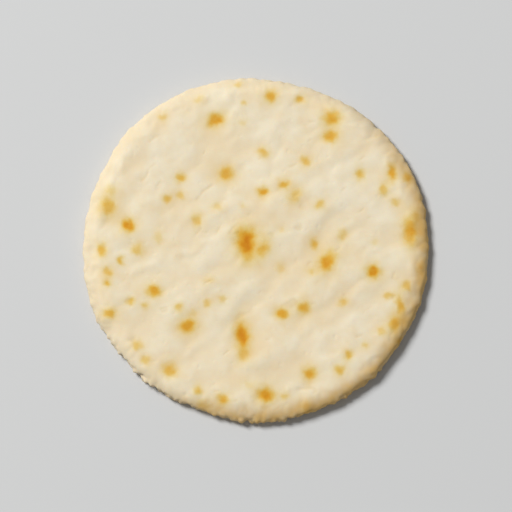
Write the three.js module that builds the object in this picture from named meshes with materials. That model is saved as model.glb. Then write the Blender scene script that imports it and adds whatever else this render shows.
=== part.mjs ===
// A rice flatbread: a thick, soft, unleavened round, cooked on a griddle and left whole.
// It is one baked piece, so it is one solid. Millimetres, +Z up. The bread lies on its flat
// underside, and the origin is the middle of that side.

import * as THREE from "three";

// Driving dimensions, in mm.
const DIAMETER = 180; // mean width of the round outline
const THICKNESS = 8.6; // from the underside to the mean level of the middle of the top
const CROWN = 0.3; // how much the middle of the top stands above the start of the shoulder
const BELLY_HEIGHT = 3; // height of the widest part of the rim above the underside
const SHOULDER_REACH = 10; // how far in from the outline the rounded upper edge begins
const HEEL_REACH = 4; // how far in from the outline the flat underside ends
const LIP_HEIGHT = 0.3; // how much the top swells in a soft ring just inside the rim
const LIP_INSET = 10; // how far in from the outline that ring's crest lies
const LIP_WIDTH = 6; // from the ring's crest to where it has nearly died away

// How square the two rounded edges are: 2 is an ellipse, and more is squarer.
const SHOULDER_POWER = 2.2;
const HEEL_POWER = 2;

// The outline was pressed out by hand, so it swells a little here and there.
// Each entry: how many swellings go round, how far out they reach, and where the first one is.
const LOBES = [
  { count: 2, swell: 0.35, firstDegrees: -30 },
  { count: 3, swell: 0.2, firstDegrees: 20 },
  { count: 4, swell: 0.5, firstDegrees: 27 },
  { count: 5, swell: 0.15, firstDegrees: -23 },
  { count: 10, swell: 0.2, firstDegrees: -14 },
];

// Broad shallow waves left in the top by the hand that shaped the dough.
// Each entry: crest to crest, the direction the wave runs in, its height, and its shift.
const WAVES = [
  { length: 71, headingDegrees: 122, height: 0.16, shift: 12 },
  { length: 47, headingDegrees: 138, height: 0.13, shift: 5 },
  { length: 39, headingDegrees: 96, height: 0.1, shift: 20 },
  { length: 88, headingDegrees: 20, height: 0.14, shift: 31 },
];

// How finely the surface is divided.
const SPOKES = 96;
const HEEL_STEPS = 4;
const SHOULDER_STEPS = 7;
const TOP_RINGS = 20;

const RADIUS = DIAMETER / 2;
const SHOULDER_HEIGHT = THICKNESS - CROWN;

// A quarter of a superellipse from straight up, { out: 0, up: 1 }, to straight out.
function roundedQuarter(steps, power) {
  return Array.from({ length: steps + 1 }, (_, step) => {
    const turn = (step / steps) * (Math.PI / 2);
    return {
      out: Math.sin(turn) ** (2 / power),
      up: Math.max(Math.cos(turn), 0) ** (2 / power),
    };
  });
}

// The lower edge, from the end of the flat underside out and up to the belly.
function heel() {
  return roundedQuarter(HEEL_STEPS, HEEL_POWER).map(
    ({ out, up }) =>
      new THREE.Vector2(RADIUS - HEEL_REACH * (1 - out), BELLY_HEIGHT * (1 - up)),
  );
}

// The upper edge, from the belly up and in to where the top begins.
function shoulder() {
  const rise = SHOULDER_HEIGHT - BELLY_HEIGHT;
  return roundedQuarter(SHOULDER_STEPS, SHOULDER_POWER)
    .reverse()
    .map(
      ({ out, up }) =>
        new THREE.Vector2(RADIUS - SHOULDER_REACH * (1 - out), BELLY_HEIGHT + rise * up),
    );
}

// The slightly crowned top, from the shoulder in to the axis.
function top() {
  const reach = RADIUS - SHOULDER_REACH;
  return Array.from({ length: TOP_RINGS + 1 }, (_, ring) => {
    const share = 1 - ring / TOP_RINGS;
    return new THREE.Vector2(reach * share, SHOULDER_HEIGHT + CROWN * (1 - share ** 2));
  });
}

// Half of the cross-section, from the axis at the underside round to the axis at the top.
function halfSection() {
  const middle = new THREE.Vector2(0, 0);
  return [middle, ...heel(), ...shoulder().slice(1), ...top().slice(1)];
}

// How far the outline stands out from a true circle in a direction given in radians.
function outlineSwell(direction) {
  return LOBES.reduce((sum, { count, swell, firstDegrees }) => {
    const first = THREE.MathUtils.degToRad(firstDegrees);
    return sum + swell * Math.cos(count * (direction - first));
  }, 0);
}

// How far the waves lift the top at a place.
function waveLift(x, y) {
  return WAVES.reduce((sum, { length, headingDegrees, height, shift }) => {
    const heading = THREE.MathUtils.degToRad(headingDegrees);
    const along = x * Math.cos(heading) + y * Math.sin(heading);
    return sum + height * Math.cos((2 * Math.PI * (along - shift)) / length);
  }, 0);
}

// How far the soft ring inside the rim lifts the top at a distance from the axis.
function lipLift(reach) {
  return LIP_HEIGHT * Math.exp(-(((RADIUS - LIP_INSET - reach) / LIP_WIDTH) ** 2));
}

// Turns the round lathe shape into the hand-pressed one. The underside stays flat.
function shapeByHand(geometry) {
  const position = geometry.getAttribute("position");
  const point = new THREE.Vector3();
  for (let i = 0; i < position.count; i += 1) {
    point.fromBufferAttribute(position, i);
    const stretch = 1 + outlineSwell(Math.atan2(point.y, point.x)) / RADIUS;
    const topShare = Math.max(point.z - BELLY_HEIGHT, 0) / (THICKNESS - BELLY_HEIGHT);
    const lip = lipLift(Math.hypot(point.x, point.y));
    point.x *= stretch;
    point.y *= stretch;
    point.z += topShare * (lip + waveLift(point.x, point.y));
    position.setXYZ(i, point.x, point.y, point.z);
  }
}

// Puts the middle of the outline's box on the axis, with the underside at zero.
function centreOnUnderside(geometry) {
  geometry.computeBoundingBox();
  const middle = geometry.boundingBox.getCenter(new THREE.Vector3());
  geometry.translate(-middle.x, -middle.y, -geometry.boundingBox.min.z);
}

function breadGeometry() {
  const geometry = new THREE.LatheGeometry(halfSection(), SPOKES);
  geometry.rotateX(Math.PI / 2);
  shapeByHand(geometry);
  centreOnUnderside(geometry);
  geometry.computeVertexNormals();
  return geometry;
}

// Pale steamed-and-toasted rice dough, matte all over.
function breadMaterial() {
  return new THREE.MeshStandardMaterial({ color: "#ead9b6", roughness: 0.85, metalness: 0 });
}

const flatbread = new THREE.Mesh(breadGeometry(), breadMaterial());
flatbread.name = "rice_flatbread";

const model = new THREE.Group();
model.add(flatbread);

export default model;
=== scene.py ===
"""A rice flatbread, built as the one baked piece it is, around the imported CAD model.

The form (outline, thickness, broad waves) repeats the CAD model's driving sizes and is then
fitted to the CAD box. Everything finer is added here: ripples, creases, pits, dimples, the ragged
rim, the toasted spots and the surface's material. Lengths are in mm until they reach Blender, in
metres. Each noise field has a seed of its own, so no two of them rise and fall together.
"""

import itertools
import math
from collections import namedtuple

import bpy
import numpy as np
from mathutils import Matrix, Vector


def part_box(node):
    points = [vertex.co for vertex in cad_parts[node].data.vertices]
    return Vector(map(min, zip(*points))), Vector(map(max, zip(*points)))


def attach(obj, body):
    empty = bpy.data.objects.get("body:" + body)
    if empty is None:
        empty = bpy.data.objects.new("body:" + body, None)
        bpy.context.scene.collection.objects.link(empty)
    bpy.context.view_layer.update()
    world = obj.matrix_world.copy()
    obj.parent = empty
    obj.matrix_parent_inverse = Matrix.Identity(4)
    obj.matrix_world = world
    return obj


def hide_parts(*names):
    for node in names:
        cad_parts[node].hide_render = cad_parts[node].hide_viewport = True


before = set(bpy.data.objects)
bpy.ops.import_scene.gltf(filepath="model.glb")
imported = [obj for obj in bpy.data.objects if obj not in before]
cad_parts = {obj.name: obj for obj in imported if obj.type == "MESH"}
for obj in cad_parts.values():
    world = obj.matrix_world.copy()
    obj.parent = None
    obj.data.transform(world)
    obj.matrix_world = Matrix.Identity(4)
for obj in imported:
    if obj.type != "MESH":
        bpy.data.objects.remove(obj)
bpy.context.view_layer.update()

NODE = "rice_flatbread"
MM = 0.001  # metres in a millimetre

# The form, in mm, as the CAD model has it.
RADIUS = 90.0
THICKNESS = 8.6  # to the mean level of the middle of the top
CROWN = 0.3
BELLY_HEIGHT = 3.0
SHOULDER_REACH = 10.0
HEEL_REACH = 4.0
LIP_HEIGHT = 0.3
LIP_INSET = 10.0
LIP_WIDTH = 6.0
SHOULDER_POWER = 2.2
HEEL_POWER = 2.0
SHOULDER_HEIGHT = THICKNESS - CROWN

# Swellings of the outline: how many go round, how far out (mm), where the first is (degrees).
LOBES = [(2, 0.35, -30), (3, 0.2, 20), (4, 0.5, 27), (5, 0.15, -23), (10, 0.2, -14)]

# Broad waves of the top: crest to crest (mm), heading (degrees), height (mm), shift (mm).
WAVES = [(71, 122, 0.16, 12), (47, 138, 0.13, 5), (39, 96, 0.10, 20), (88, 20, 0.14, 31)]

# How far apart the surface's points are, in mm.
TOP_SPACING = 0.64
RIM_SPACING = 0.64
UNDERSIDE_SPACING = 1.6
FEWEST_SPOKES = 96  # doubled outwards as often as the spacing asks
WIDEST_CELL = 1.3  # how many spacings a gap between two spokes may measure

# The relief, in mm.
RIPPLE_HEIGHT = 0.58
CREASE_DEPTH = 0.14
PIT_DEPTH = 0.16
UNDERSIDE_HOLLOW = 0.25
LUMP_HEIGHT = 0.58
FOLD_HEIGHT = 0.95
CRUMB_HEIGHT = 0.10
DIMPLE_DEPTH = 0.022  # as a share of a spot's smaller width
LUMPS_ON_TOP = 0.35  # how much of the rim's lumps reaches the outer part of the top

# Directions seen from above: the way the top's ripples and creases run, the middle of the rim's
# side with the most browning and painted shade, and the middle of its most torn side.
GRAIN_DEGREES = 36.0
SHADED_BROWN_SIDE_DEGREES = -38.0
TORN_DEGREES = 264.0

# Toasted spots of the top. Each entry: place right and up of SPOTS_MIDDLE (shares of the radius),
# width and height (mm), turn (degrees), and strength, from a faint yellow blush to dark brown.
Spot = namedtuple("Spot", "right up width height turn strength")
SPOTS_MIDDLE = (0.0, -1.6)  # mm
SPOTS = [
    # the large ones
    (-0.056, 0.046, 11.0, 15.5, 0, 0.95),
    (-0.044, 0.036, 6.0, 11.0, 0, 0.55),
    (-0.058, 0.096, 10.5, 7.5, 0, 0.56),
    (-0.050, -0.036, 5.0, 6.5, 0, 0.38),
    (0.040, 0.012, 7.0, 10.5, -32, 0.60),
    (-0.080, -0.485, 8.5, 16.0, 8, 0.92),
    (-0.070, -0.590, 5.5, 7.5, 0, 0.44),
    (0.410, -0.060, 9.0, 12.5, -32, 0.84),
    (0.675, -0.120, 8.5, 8.5, 0, 0.91),
    (0.890, 0.115, 8.5, 16.5, 4, 0.76),
    (0.055, -0.830, 10.0, 9.5, 0, 0.92),
    (-0.390, -0.430, 10.0, 8.5, 0, 0.79),
    (-0.590, -0.230, 8.0, 7.5, 0, 0.80),
    (-0.735, 0.150, 8.0, 8.0, 0, 0.90),
    (-0.855, 0.260, 9.0, 11.5, 0, 0.62),
    (-0.230, 0.765, 10.5, 8.0, 28, 0.80),
    (-0.170, 0.450, 8.5, 8.0, 0, 0.68),
    (0.440, 0.775, 9.5, 9.0, 0, 0.76),
    (0.430, 0.670, 8.0, 7.0, 0, 0.72),
    # the upper half
    (0.085, 0.905, 7.0, 7.0, 0, 0.74),
    (0.255, 0.885, 5.5, 4.5, 0, 0.60),
    (0.290, 0.520, 5.5, 5.5, 0, 0.56),
    (0.045, 0.575, 5.0, 5.0, 0, 0.54),
    (0.160, 0.390, 6.0, 5.0, 0, 0.66),
    (0.040, 0.345, 6.5, 5.5, 0, 0.78),
    (0.225, 0.325, 6.5, 8.5, -20, 0.42),
    (0.370, 0.270, 5.0, 5.0, 0, 0.46),
    (0.335, 0.045, 5.0, 6.0, 0, 0.62),
    (0.500, 0.095, 4.5, 5.0, 0, 0.34),
    (0.600, 0.445, 5.0, 6.5, 0, 0.58),
    (0.785, 0.460, 5.0, 9.5, 0, 0.76),
    (0.740, 0.360, 4.5, 6.5, -8, 0.48),
    (0.805, 0.285, 5.0, 4.0, 0, 0.34),
    (-0.435, 0.430, 5.5, 5.0, 0, 0.64),
    (-0.515, 0.305, 4.5, 4.5, 0, 0.54),
    (-0.435, 0.325, 4.5, 4.0, 0, 0.38),
    (-0.540, 0.780, 4.5, 4.0, 0, 0.34),
    (-0.330, 0.885, 5.0, 4.0, 0, 0.24),
    (-0.105, 0.970, 4.5, 3.5, 0, 0.30),
    (-0.070, 0.865, 3.0, 3.0, 0, 0.34),
    (-0.075, 0.750, 5.0, 3.5, 0, 0.18),
    (-0.340, 0.180, 5.5, 7.0, 0, 0.46),
    (-0.230, 0.260, 5.0, 4.5, 0, 0.26),
    (-0.560, 0.080, 4.5, 7.5, 0, 0.22),
    (-0.680, 0.010, 6.5, 5.5, -30, 0.48),
    (-0.835, 0.355, 5.5, 4.5, 0, 0.26),
    (0.145, 0.130, 4.0, 3.5, 35, 0.15),
    (-0.075, 0.265, 3.0, 3.0, 0, 0.14),
    (0.690, 0.055, 4.0, 3.5, 0, 0.15),
    # the lower half
    (0.150, -0.360, 7.5, 6.5, 0, 0.78),
    (0.275, -0.325, 7.0, 7.5, 0, 0.76),
    (0.500, -0.290, 5.0, 4.5, 0, 0.42),
    (0.305, -0.705, 7.5, 8.0, 0, 0.80),
    (0.480, -0.685, 6.0, 5.5, 20, 0.60),
    (0.530, -0.600, 5.0, 5.5, 0, 0.58),
    (0.800, -0.420, 6.5, 9.5, -10, 0.66),
    (0.830, -0.315, 4.5, 10.5, 6, 0.64),
    (0.765, -0.255, 6.0, 3.5, 0, 0.46),
    (0.865, -0.200, 5.0, 5.5, 0, 0.52),
    (0.720, -0.465, 5.0, 4.5, 0, 0.36),
    (0.315, -0.115, 4.5, 4.0, 0, 0.28),
    (0.145, -0.095, 5.0, 5.5, 0, 0.21),
    (0.625, -0.545, 4.0, 3.5, 0, 0.34),
    (0.165, -0.835, 4.5, 4.0, 0, 0.42),
    (-0.040, -0.765, 7.0, 4.5, 0, 0.16),
    (-0.445, -0.325, 4.5, 4.5, 0, 0.46),
    (-0.280, -0.300, 4.5, 3.5, 20, 0.38),
    (-0.190, -0.275, 4.0, 4.0, 0, 0.32),
    (-0.360, -0.355, 4.0, 3.5, 0, 0.20),
    (-0.270, -0.165, 7.0, 4.5, 20, 0.16),
    (-0.495, -0.685, 8.0, 7.5, -20, 0.60),
    (-0.635, -0.630, 4.5, 5.0, 0, 0.38),
    (-0.685, -0.545, 5.5, 5.0, 0, 0.46),
    (-0.840, -0.360, 7.5, 6.0, 0, 0.68),
    (-0.720, -0.285, 4.5, 4.0, 0, 0.54),
    (-0.640, -0.315, 4.0, 3.0, 0, 0.42),
    (-0.855, -0.120, 5.0, 5.5, 0, 0.50),
    (-0.855, -0.185, 4.5, 4.5, 0, 0.60),
    (-0.780, -0.055, 4.0, 4.0, 0, 0.62),
    (-0.890, 0.005, 5.5, 7.0, 0, 0.64),
    (-0.330, -0.800, 4.5, 4.5, 0, 0.54),
    (-0.190, -0.855, 6.0, 6.5, 0, 0.74),
    # on the shoulder
    (-0.300, -0.890, 9.0, 5.5, -20, 0.32),
    (0.285, -0.900, 5.5, 6.5, -20, 0.28),
    (0.875, 0.430, 5.0, 6.0, 25, 0.56),
    (0.945, -0.110, 3.5, 6.0, 8, 0.22),
    (0.830, -0.520, 4.5, 5.0, 0, 0.42),
    (0.925, 0.205, 4.5, 7.5, 10, 0.40),
]

# How many spots are tried on the underside, and how far out they may lie (share of the radius).
UNDERSIDE_SPOTS = 120
UNDERSIDE_SPOTS_REACH = 0.90


def srgb(red, green, blue):
    """A colour given as 0 to 255 on a screen, as the linear colour that Blender's sockets take."""
    shares = [value / 255 for value in (red, green, blue)]
    return [s / 12.92 if s <= 0.04045 else ((s + 0.055) / 1.055) ** 2.4 for s in shares] + [1.0]


# Smooth repeatable noise ------------------------------------------------------------------------


def smooth_noise(points, seed):
    """Gradient noise of about -1 to 1 at each row of an N x 3 array, one feature per unit."""
    gradients = np.random.default_rng(seed).normal(size=(256, 3))
    gradients /= np.linalg.norm(gradients, axis=1, keepdims=True)
    order = np.random.default_rng(seed + 1).permutation(256)
    cell = np.floor(points).astype(int)
    local = points - cell
    fade = local**3 * (local * (local * 6 - 15) + 10)
    total = np.zeros(len(points))
    for corner in itertools.product((0, 1), repeat=3):
        x, y, z = ((cell + corner) % 256).T
        gradient = gradients[order[(order[(order[x] + y) % 256] + z) % 256]]
        weight = np.prod(np.where(corner, fade, 1 - fade), axis=1)
        total += weight * np.einsum("ij,ij->i", gradient, local - corner)
    return total * 1.7


def streaks(points, along, across, seed, degrees=GRAIN_DEGREES):
    """Noise drawn out along a direction: feature length along it and across it, in mm."""
    turn = math.radians(degrees)
    lengthwise = points[:, 0] * math.cos(turn) + points[:, 1] * math.sin(turn)
    crosswise = points[:, 1] * math.cos(turn) - points[:, 0] * math.sin(turn)
    return smooth_noise(
        np.column_stack((lengthwise / along, crosswise / across, points[:, 2] / across)), seed
    )


def shaken(points, size, reach, seed):
    """The points moved to and fro by up to about reach mm, in swirls about size mm wide."""
    shifts = [reach * smooth_noise(points / size, seed + i) for i in range(2)]
    return points + np.column_stack((*shifts, np.zeros(len(points))))


def smooth_step(low, high, value):
    share = np.clip((value - low) / (high - low), 0, 1)
    return share * share * (3 - 2 * share)


# The form ---------------------------------------------------------------------------------------


def rounded_quarter(power, steps=200):
    """A quarter of a superellipse, from straight up (out 0, up 1) to straight out."""
    turn = np.linspace(0, math.pi / 2, steps + 1)
    return np.sin(turn) ** (2 / power), np.clip(np.cos(turn), 0, 1) ** (2 / power)


def evenly_spaced(outs, ups, spacing):
    """The same curve with its points a given length apart."""
    lengths = np.concatenate(([0], np.cumsum(np.hypot(np.diff(outs), np.diff(ups)))))
    wanted = np.linspace(0, lengths[-1], max(2, round(lengths[-1] / spacing) + 1))
    return np.column_stack((np.interp(wanted, lengths, outs), np.interp(wanted, lengths, ups)))


def half_section():
    """The section's stations (radius, height, spacing wanted), from the underside's middle
    round the rim to the middle of the top."""
    heel_out, heel_up = rounded_quarter(HEEL_POWER)
    shoulder_out, shoulder_up = (a[::-1] for a in rounded_quarter(SHOULDER_POWER))
    rise = SHOULDER_HEIGHT - BELLY_HEIGHT
    top_share = np.linspace(1, 0, 200)

    underside = (np.array([0, RADIUS - HEEL_REACH]), np.zeros(2))
    heel = (RADIUS - HEEL_REACH * (1 - heel_out), BELLY_HEIGHT * (1 - heel_up))
    shoulder = (
        RADIUS - SHOULDER_REACH * (1 - shoulder_out),
        BELLY_HEIGHT + rise * shoulder_up,
    )
    top = (
        (RADIUS - SHOULDER_REACH) * top_share,
        SHOULDER_HEIGHT + CROWN * (1 - top_share**2),
    )
    stretches = [
        (*underside, UNDERSIDE_SPACING),
        (*heel, RIM_SPACING),
        (*shoulder, RIM_SPACING),
        (*top, TOP_SPACING),
    ]
    stations = []
    for outs, ups, spacing in stretches:
        points = evenly_spaced(outs, ups, spacing)[1 if stations else 0 :]
        stations += [(out, up, spacing) for out, up in points]
    return stations


def spokes_at(radius, spacing):
    """How many points a ring needs: the fewest doublings that keep them close enough together."""
    count = FEWEST_SPOKES
    while 2 * math.pi * radius / count > spacing * WIDEST_CELL:
        count *= 2
    return count


def strip_faces(first, second):
    """Faces between two rings, given as arrays of point numbers, where one may have twice the
    points of the other. The faces look to the left of the way the rings go."""
    if len(first) == len(second):
        after_first, after_second = np.roll(first, -1), np.roll(second, -1)
        return list(zip(first, after_first, after_second, second))
    flip = len(first) > len(second)
    few, many = (second, first) if flip else (first, second)
    faces = []
    for i, corner in enumerate(few):
        next_corner = few[(i + 1) % len(few)]
        a, b, c = many[2 * i], many[2 * i + 1], many[(2 * i + 2) % len(many)]
        for face in ((corner, b, a), (corner, next_corner, b), (next_corner, c, b)):
            faces.append(face[::-1] if flip else face)
    return faces


def ring_mesh(stations):
    """Points (angle, radius, height, length along the section from the underside's middle) and
    faces of the closed surface that the stations sweep."""
    points = []
    rings = []
    length, last = 0.0, (0.0, 0.0)
    for radius, height, spacing in stations:
        count = 1 if radius < 1e-6 else spokes_at(radius, spacing)
        length += math.dist(last, (radius, height))
        last = (radius, height)
        start = len(points)
        points += [(2 * math.pi * i / count, radius, height, length) for i in range(count)]
        rings.append(np.arange(start, start + count))
    faces = []
    for first, second in zip(rings, rings[1:]):
        if len(first) == 1:
            faces += [(first[0], b, a) for a, b in zip(second, np.roll(second, -1))]
        elif len(second) == 1:
            faces += [(a, b, second[0]) for a, b in zip(first, np.roll(first, -1))]
        else:
            faces += strip_faces(first, second)
    return np.array(points), [tuple(int(i) for i in face) for face in faces]


def outline_swell(angle):
    return sum(out * np.cos(n * (angle - math.radians(first))) for n, out, first in LOBES)


def wave_lift(x, y):
    lift = np.zeros(len(x))
    for length, heading, height, shift in WAVES:
        turn = math.radians(heading)
        along = x * math.cos(turn) + y * math.sin(turn)
        lift += height * np.cos(2 * math.pi * (along - shift) / length)
    return lift


def lip_lift(radius):
    return LIP_HEIGHT * np.exp(-(((RADIUS - LIP_INSET - radius) / LIP_WIDTH) ** 2))


def hand_pressed(angle, radius, height):
    """The CAD model's form at the mesh's points, in mm."""
    reach = radius * (1 + outline_swell(angle) / RADIUS)
    x, y = reach * np.cos(angle), reach * np.sin(angle)
    top_share = np.clip(height - BELLY_HEIGHT, 0, None) / (THICKNESS - BELLY_HEIGHT)
    lift = lip_lift(radius) + wave_lift(x, y)
    return np.column_stack((x, y, height + top_share * lift))


def fitted_to_cad(points):
    """Moves and stretches the points, by well under a millimetre, to fill the CAD node's box."""
    low, high = (np.array(corner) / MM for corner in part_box(NODE))
    share = (points - points.min(0)) / np.ptp(points, axis=0)
    return low + share * (high - low)


# The surface's relief ---------------------------------------------------------------------------


def spot_distance(points, spot):
    """Distance from a spot's middle, 1 at its edge."""
    turn = math.radians(spot.turn)
    x = points[:, 0] - SPOTS_MIDDLE[0] - spot.right * RADIUS
    y = points[:, 1] - SPOTS_MIDDLE[1] - spot.up * RADIUS
    across = (x * math.cos(turn) + y * math.sin(turn)) / (spot.width / 2)
    along = (y * math.cos(turn) - x * math.sin(turn)) / (spot.height / 2)
    return np.hypot(across, along)


def ripples(points):
    """Soft dunes across the grain, left by the hand and the palm, from about -1 to 1."""
    bent = shaken(points, 22.0, 7.0, 11)
    broad = streaks(bent, 25.0, 13.0, 21)
    middling = streaks(shaken(points, 10.0, 3.0, 13), 12.0, 7.0, 22)
    narrow = streaks(points, 5.5, 3.8, 23)
    return 0.74 * broad + 0.40 * middling + 0.05 * narrow


def crease_mask(points):
    """Short broken lines along the grain: 1 in the bottom of a crease, 0 outside."""
    bent = shaken(points, 9.0, 2.0, 31)
    lines = np.exp(-((streaks(bent, 26.0, 8.0, 33) / 0.09) ** 2))
    patches = smooth_step(0.42, 0.70, smooth_noise(points / 6.0, 34))
    return lines * patches


def pit_mask(points):
    """Small scattered pits, and a few pimples where it is negative, from -1 to 1."""
    pits = smooth_noise(points / np.array([2.2, 2.2, 6.0]), 41)
    return smooth_step(0.55, 1.0, pits) - 0.7 * smooth_step(0.60, 1.0, -pits)


def rim_lumps(points):
    """Knuckle-sized lumps round the rim, with tight folds between the smaller ones, in mm."""
    folded = abs(smooth_noise(points / np.array([6.0, 6.0, 10.0]), 62)) - 0.3
    return LUMP_HEIGHT * smooth_noise(points / 9.5, 61) + FOLD_HEIGHT * folded


def wall_rags(points, around):
    """Ragged bits and small tears in the wall, in patches, deepest on its torn side, in mm."""
    torn_side = smooth_step(0.25, 0.9, np.cos(around - math.radians(TORN_DEGREES)))
    patches = smooth_step(-0.9, 0.5, smooth_noise(points / 11.0, 66))
    rags = smooth_noise(points / np.array([2.5, 2.5, 5.0]), 63)
    rags += 0.6 * smooth_noise(points / np.array([4.6, 4.6, 9.0]), 67)
    tears = smooth_step(0.18, 0.0, abs(smooth_noise(points / np.array([4.0, 4.0, 9.0]), 64)))
    crumbs = smooth_noise(points / 1.7, 65)
    rag_height = 0.10 + 0.26 * patches + torn_side * (0.38 + 0.62 * patches)
    tear_depth = (0.14 + 0.80 * torn_side) * patches
    return rag_height * rags - tear_depth * tears + CRUMB_HEIGHT * crumbs


def bread_relief(points, top, under, wall, around):
    """How far each point stands out along its normal, in mm, with the masks where the material
    paints shade: the bottoms of the creases and the hollows between the ripples."""
    rim = 1 - top - under
    dunes = ripples(points)
    creases = crease_mask(points) * top
    relief = RIPPLE_HEIGHT * top * dunes
    relief -= CREASE_DEPTH * creases + PIT_DEPTH * top * pit_mask(points)
    relief += (rim + LUMPS_ON_TOP * top * near_rim(points)) * rim_lumps(points)
    relief += wall * wall_rags(points, around)
    relief -= UNDERSIDE_HOLLOW * under * (1 - griddle_contact(points))
    return relief, creases, smooth_step(0.25, -0.55, dunes) * top


def near_rim(points):
    """From 0 well inside the top to 1 close to the rim."""
    return smooth_step(RADIUS - 16, RADIUS - 5, np.hypot(points[:, 0], points[:, 1]))


def griddle_contact(points):
    """Where the underside lay on the griddle, 1, and where it stood just clear of it, 0."""
    lie = smooth_noise(points / 15.0, 81) + 0.5 * smooth_noise(points / 5.0, 82)
    return smooth_step(-0.55, 0.15, lie)


def rim_shade_and_browning(points, around):
    """Painted shade over the outer rim and the wall below the belly, and the rim's tan:
    partly browning, most at the foot of the wall, and partly painted shade and warm bounce
    light, most on one side."""
    reach = np.hypot(points[:, 0], points[:, 1]) / RADIUS
    # Painted shade and warm bounce light, with some browning, strongest round this side of the
    # rim.
    shaded_brown_side = 0.5 + 0.5 * np.cos(around - math.radians(SHADED_BROWN_SIDE_DEGREES))
    shaded_brown_side = smooth_step(0.38, 0.92, shaded_brown_side)
    patchy = 1 + 0.40 * smooth_noise(points / 7.0, 71) + 0.25 * smooth_noise(points / 2.5, 72)
    start = 0.91 - 0.035 * shaded_brown_side
    outer = smooth_step(start, 1.0, reach + 0.02 * smooth_noise(points / 6.0, 73))
    # Painted shade, and the reach of the rim's tan, over the outer rim and all of the wall below
    # the belly.
    rim_shade = np.where(points[:, 2] < BELLY_HEIGHT, 1.0, outer)
    foot = smooth_step(4.2, 0.8, points[:, 2]) * (0.55 + 0.5 * smooth_noise(points / 8.0, 74))
    browning_and_shade = rim_shade * (0.08 + 0.92 * shaded_brown_side + 0.7 * foot) * patchy
    return rim_shade, np.clip(browning_and_shade, 0, 1)


def underside_spots():
    """The underside's spots, scattered where it lay on the griddle, clear of one another."""
    dice = np.random.default_rng(7)
    spots = []
    for _ in range(UNDERSIDE_SPOTS):
        reach = UNDERSIDE_SPOTS_REACH * math.sqrt(dice.random())
        turn = dice.uniform(0, 2 * math.pi)
        width = 3.5 + 9.0 * dice.random() ** 2.2
        height = width * dice.uniform(0.7, 1.4)
        strength = min(dice.uniform(0.25, 0.55) + 0.035 * width, 0.95)
        right, up = reach * math.cos(turn), reach * math.sin(turn)
        gaps = (
            math.dist((right, up), other[:2]) * RADIUS - 0.6 * (width + other.width)
            for other in spots
        )
        if all(gap > 0 for gap in gaps):
            spots.append(Spot(right, up, width, height, dice.uniform(-90, 90), strength))
    return spots


def toast_from(points, spots):
    """How toasted each point is by the spots, from 0 to 1, and the soft dimples in them, in mm.
    A spot has a nearly even core, sharper edged where it is stronger, in a faint wide halo."""
    ragged = shaken(shaken(points, 3.4, 0.9, 51), 1.5, 0.35, 53)
    uneven = 1 + 0.12 * smooth_noise(points / 2.4, 55)
    left_pale = np.ones(len(points))
    dimple = np.zeros(len(points))
    for spot in spots:
        distance = spot_distance(ragged, spot)
        core_reach = 0.90 - 0.19 * spot.strength
        edge_power = 2.6 + 2 * spot.strength
        core = 0.90 * uneven / (1 + (distance / core_reach) ** edge_power)
        halo = 0.09 * np.exp(-((distance / 1.6) ** 2))
        left_pale *= 1 - spot.strength * np.clip(core + halo, 0, 1)
        depth = DIMPLE_DEPTH * spot.strength * min(spot.width, spot.height)
        dimple += depth * np.exp(-((distance / 0.9) ** 2))
    return 1 - left_pale, dimple


# The piece --------------------------------------------------------------------------------------


# The bake map's two discs: the place of the middle, across and up, and the radius.
TOP_DISC = (0.365, 0.355)
UNDERSIDE_DISC = (0.775, 0.215)
SEAM_SLACK = 0.01  # mm of rounding allowed where the two discs part


def add_bake_map(mesh, angles, lengths):
    """A flat map without overlaps: the top and the rim as one disc, the underside as another,
    with true distances along the section."""
    seam, whole = RADIUS - HEEL_REACH, lengths.max()
    corners = np.zeros(len(mesh.loops), int)
    mesh.loops.foreach_get("vertex_index", corners)
    starts = np.zeros(len(mesh.polygons), int)
    mesh.polygons.foreach_get("loop_start", starts)
    counts = np.diff(starts, append=len(corners))
    furthest = np.repeat(np.maximum.reduceat(lengths[corners], starts), counts)
    below = furthest < seam + SEAM_SLACK
    angle, length = angles[corners], lengths[corners]
    share = np.where(below, length / seam, (whole - length) / (whole - seam))
    middle = np.where(below, UNDERSIDE_DISC[0], TOP_DISC[0])
    reach = share * np.where(below, UNDERSIDE_DISC[1], TOP_DISC[1])
    side = np.where(below, -1, 1)
    places = np.column_stack(
        (middle + reach * np.cos(angle), middle + side * reach * np.sin(angle))
    )
    layer = mesh.uv_layers.new(name="OFBake")
    layer.data.foreach_set("uv", places.ravel())


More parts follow.
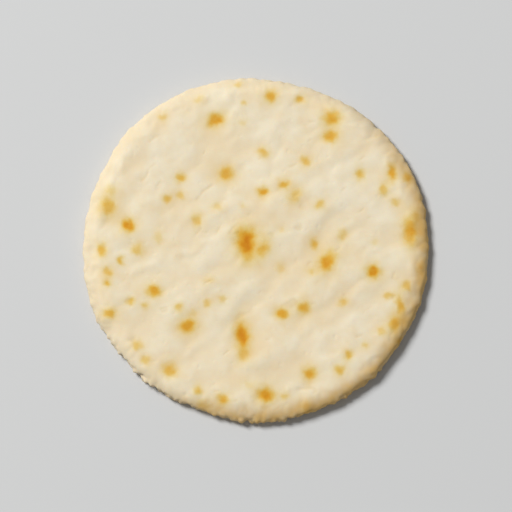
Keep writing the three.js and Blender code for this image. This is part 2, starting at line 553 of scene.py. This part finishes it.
def make_bread():
    polar, faces = ring_mesh(half_section())
    points = fitted_to_cad(hand_pressed(*polar[:, :3].T))
    mesh = bpy.data.meshes.new("flatbread")
    mesh.from_pydata(points * MM, [], faces)
    normals = np.zeros(len(points) * 3)
    mesh.vertices.foreach_get("normal", normals)
    normals = normals.reshape(-1, 3)

    facing_up = normals[:, 2]
    top = smooth_step(0.35, 0.9, facing_up)
    under = smooth_step(0.5, 0.95, -facing_up)
    wall = smooth_step(0.90, 0.35, abs(facing_up))
    around = np.arctan2(points[:, 1], points[:, 0])
    relief, creases, hollows = bread_relief(points, top, under, wall, around)
    toast_above, dimple_above = toast_from(points, [Spot(*entry) for entry in SPOTS])
    toast_below, _ = toast_from(points, underside_spots())
    above = smooth_step(0.10, 0.50, facing_up)
    touched = griddle_contact(points)
    # Painted shade on the outer rim, and the rim's tan, partly browning and partly painted shade
    # and warm bounce light.
    rim_shade, browning_and_shade = rim_shade_and_browning(points, around)
    toast = above * toast_above + under * (0.06 + 0.94 * toast_below * touched)
    points = points + normals * (relief - top * dimple_above)[:, None]
    points[:, 2] = np.clip(points[:, 2], 0, None)

    mesh.vertices.foreach_set("co", (points * MM).ravel())
    masks = {
        "toast": toast,
        "crease": creases,
        "hollow": hollows,
        "rim_shade": rim_shade,
        "browning_and_shade": browning_and_shade * (1 - 0.6 * under) + 0.35 * under * touched,
    }
    for name, values in masks.items():
        mesh.attributes.new(name, "FLOAT", "POINT").data.foreach_set("value", values)
    add_bake_map(mesh, polar[:, 0], polar[:, 3])
    mesh.shade_smooth()
    mesh.update()
    bread = bpy.data.objects.new("flatbread", mesh)
    bpy.context.scene.collection.objects.link(bread)
    return bread


# Materials --------------------------------------------------------------------------------------


class Nodes:
    """Short forms for adding shader nodes to one material."""

    def __init__(self, name):
        self.material = bpy.data.materials.new(name)
        self.material.use_nodes = True
        self.tree = self.material.node_tree
        self.tree.nodes.clear()

    def add(self, kind, settings=None, **inputs):
        made = self.tree.nodes.new(kind)
        for key, value in (settings or {}).items():
            setattr(made, key, value)
        for key, value in inputs.items():
            self.set(made, key.replace("_", " "), value)
        return made

    def set(self, made, key, value):
        socket = made.inputs[int(key)] if key.isdigit() else made.inputs[key]
        if isinstance(value, bpy.types.NodeSocket):
            self.tree.links.new(value, socket)
        else:
            socket.default_value = value

    def attribute(self, name):
        return self.add("ShaderNodeAttribute", {"attribute_name": name}).outputs["Fac"]

    def maths(self, operation, first, second=0.0, clamp=False):
        made = self.add("ShaderNodeMath", {"operation": operation, "use_clamp": clamp})
        self.set(made, "0", first)
        self.set(made, "1", second)
        return made.outputs[0]

    def blend(self, share, first, second, way="MIX"):
        made = self.add("ShaderNodeMix", {"data_type": "RGBA", "blend_type": way})
        self.set(made, "0", share)
        self.set(made, "6", first)
        self.set(made, "7", second)
        return made.outputs[2]

    def noise(self, size_mm, detail=2.0, roughness=0.5):
        place = self.add("ShaderNodeTexCoord").outputs["Object"]
        made = self.add(
            "ShaderNodeTexNoise",
            Vector=place,
            Scale=1 / (size_mm * MM),
            Detail=detail,
            Roughness=roughness,
        )
        return made.outputs["Fac"]

    def ramp(self, value, stops):
        made = self.add("ShaderNodeValToRGB", Fac=value)
        elements = made.color_ramp.elements
        while len(elements) < len(stops):
            elements.new(0.5)
        for element, (position, colour) in zip(elements, stops):
            element.position = position
            element.color = colour
        return made.outputs["Color"]


# The dough's own colours, the painted shade of its hollows, creases and rim, and the rim's tan.
CREAM = srgb(232, 220, 193)
CREAM_LIGHT = srgb(235, 225, 201)
CREAM_WARM = srgb(230, 214, 182)
HOLLOW_SHADE = srgb(230, 211, 175)
CREASE_SHADE = srgb(218, 196, 154)
RIM_SHADE_COLOUR = srgb(216, 203, 176)
RIM_TAN_AND_SHADE = srgb(225, 189, 124)

# How much of its painted shade each of them takes.
HOLLOW_SHADE_SHARE = 0.6
CREASE_SHADE_SHARE = 0.4
RIM_SHADE_SHARE = 0.75

# What cream dough turns to as it toasts.
TOAST_STOPS = [
    (0.00, CREAM),
    (0.15, srgb(228, 209, 162)),
    (0.35, srgb(223, 196, 128)),
    (0.55, srgb(220, 183, 94)),
    (0.75, srgb(217, 165, 57)),
    (0.90, srgb(210, 145, 30)),
    (1.00, srgb(198, 120, 10)),
]

# The sizes of the dough's cloudy mottling, of the specks round the spots, and of the pores (mm).
BROAD_CLOUDS = 16.0
SMALL_CLOUDS = 5.5
SMALL_CLOUDS_SHARE = 0.38
SPECKS = 0.9
PORES = 0.7
PORE_DEPTH = 0.10


def tint_of(colour):
    """What cream dough is multiplied by to come out as the colour."""
    return [own / plain for own, plain in zip(colour[:3], CREAM[:3])] + [1.0]


def bread_material():
    nodes = Nodes("toasted_rice_dough")
    toast = nodes.attribute("toast")
    crease = nodes.attribute("crease")
    hollow = nodes.attribute("hollow")
    rim_shade = nodes.attribute("rim_shade")
    browning_and_shade = nodes.attribute("browning_and_shade")

    broad = nodes.maths("MULTIPLY", nodes.noise(BROAD_CLOUDS, 2.0), 1 - SMALL_CLOUDS_SHARE)
    small = nodes.maths("MULTIPLY", nodes.noise(SMALL_CLOUDS, 1.0), SMALL_CLOUDS_SHARE)
    clouds = nodes.maths("ADD", broad, small)
    dough = nodes.ramp(clouds, [(0.36, CREAM_LIGHT), (0.51, CREAM), (0.66, CREAM_WARM)])
    # Painted warm shade in the hollows between the ripples.
    dough = nodes.blend(nodes.maths("MULTIPLY", hollow, HOLLOW_SHADE_SHARE), dough, HOLLOW_SHADE)
    # Painted shade in the bottoms of the creases.
    dough = nodes.blend(nodes.maths("MULTIPLY", crease, CREASE_SHADE_SHARE), dough, CREASE_SHADE)
    # Painted shade that darkens the outer rim and the wall below the belly.
    dough = nodes.blend(nodes.maths("MULTIPLY", rim_shade, RIM_SHADE_SHARE), dough, RIM_SHADE_COLOUR)
    # The rim's tan: partly browning, partly painted shade and warm bounce light, strongest on one
    # side.
    dough = nodes.blend(browning_and_shade, dough, RIM_TAN_AND_SHADE)

    speckle = nodes.maths("SUBTRACT", nodes.noise(SPECKS, 3.0, 0.6), 0.5)
    edge = nodes.maths("MULTIPLY", toast, nodes.maths("SUBTRACT", 1.0, toast))
    mottle = nodes.maths("MULTIPLY", speckle, nodes.maths("MULTIPLY", edge, 0.8))
    broken = nodes.maths("ADD", toast, mottle)
    crust = nodes.ramp(broken, [(place, tint_of(colour)) for place, colour in TOAST_STOPS])
    colour = nodes.blend(1.0, dough, crust, "MULTIPLY")

    roughness = nodes.maths("SUBTRACT", 0.86, nodes.maths("MULTIPLY", broken, 0.18))
    pores = nodes.noise(PORES, 4.0, 0.65)
    bump = nodes.add("ShaderNodeBump", Strength=0.35, Distance=PORE_DEPTH * MM, Height=pores)

    shader = nodes.add(
        "ShaderNodeBsdfPrincipled",
        Base_Color=colour,
        Roughness=roughness,
        Normal=bump.outputs["Normal"],
        Subsurface_Weight=0.12,
        Subsurface_Radius=(1.0, 0.62, 0.32),
        Subsurface_Scale=1.4 * MM,
        Specular_IOR_Level=0.18,
    )
    output = nodes.add("ShaderNodeOutputMaterial")
    nodes.set(output, "Surface", shader.outputs["BSDF"])
    return nodes.material


# Stage, light and camera ------------------------------------------------------------------------

# Sizes and places are in metres here.
FLOOR_SIZE = 6.0
FLOOR_GAP = 0.02 * MM
FLOOR_GREY = srgb(206, 208, 210)

KEY_PLACE = (-3.2, 2.65, 4.4)
KEY_SIZE = 2.2
KEY_WATTS = 405.0
KEY_COLOUR = (1.0, 0.985, 0.96)

# The world's colour, the strength of its light, and that of the pale backdrop the camera sees.
WORLD_COLOUR = (1.0, 0.99, 0.97, 1.0)
WORLD_LIGHT = 0.215
BACKDROP_LIGHT = 0.66

LENS = 200.0  # mm, as the sensor is
SENSOR = 36.0
CAMERA_ELEVATION = 84.0  # degrees
BREAD_SHARE = 0.6755  # of the picture's width that the bread takes
AIM_DROP = 3.65 * MM  # the picture's middle lies this far below the bread's


def floor_material():
    nodes = Nodes("plain_floor")
    shader = nodes.add("ShaderNodeBsdfPrincipled", Base_Color=FLOOR_GREY, Roughness=0.9)
    output = nodes.add("ShaderNodeOutputMaterial")
    nodes.set(output, "Surface", shader.outputs["BSDF"])
    return nodes.material


def make_floor():
    half = FLOOR_SIZE / 2
    mesh = bpy.data.meshes.new("floor")
    corners = [(-half, -half), (half, -half), (half, half), (-half, half)]
    mesh.from_pydata([(x, y, -FLOOR_GAP) for x, y in corners], [], [(0, 1, 2, 3)])
    floor = bpy.data.objects.new("floor", mesh)
    bpy.context.scene.collection.objects.link(floor)
    floor.data.materials.append(floor_material())


def looking(place, target):
    """The rotation of a lamp or camera at place that looks at target, upright."""
    return (Vector(target) - Vector(place)).to_track_quat("-Z", "Y").to_euler()


def add_key_light():
    light = bpy.data.lights.new("key_light", "AREA")
    light.shape = "DISK"
    light.size = KEY_SIZE
    light.energy = KEY_WATTS
    light.color = KEY_COLOUR
    lamp = bpy.data.objects.new("key_light", light)
    lamp.location = KEY_PLACE
    lamp.rotation_euler = looking(KEY_PLACE, (0, 0, 0))
    bpy.context.scene.collection.objects.link(lamp)


def light_world():
    world = bpy.data.worlds.new("studio")
    world.use_nodes = True
    tree = world.node_tree
    background = tree.nodes["Background"]
    background.inputs["Color"].default_value = WORLD_COLOUR
    seen = tree.nodes.new("ShaderNodeLightPath").outputs["Is Camera Ray"]
    strength = tree.nodes.new("ShaderNodeMapRange")
    strength.inputs["To Min"].default_value = WORLD_LIGHT
    strength.inputs["To Max"].default_value = BACKDROP_LIGHT
    tree.links.new(seen, strength.inputs["Value"])
    tree.links.new(strength.outputs[0], background.inputs["Strength"])
    bpy.context.scene.world = world


def add_camera():
    low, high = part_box(NODE)
    middle = (low + high) / 2
    distance = (high.x - low.x) / BREAD_SHARE * LENS / SENSOR
    elevation = math.radians(CAMERA_ELEVATION)
    away = Vector((0, -math.cos(elevation), math.sin(elevation)))
    target = Vector((middle.x, middle.y - AIM_DROP, middle.z))
    data = bpy.data.cameras.new("camera")
    data.lens = LENS
    data.sensor_width = SENSOR
    camera = bpy.data.objects.new("camera", data)
    camera.location = target + away * distance
    camera.rotation_euler = looking(camera.location, target)
    bpy.context.scene.collection.objects.link(camera)
    bpy.context.scene.camera = camera


add_camera()
add_key_light()
light_world()
bpy.context.scene.view_settings.view_transform = "Standard"
make_floor()
bread = make_bread()
bread.data.materials.append(bread_material())
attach(bread, "root")
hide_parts(NODE)
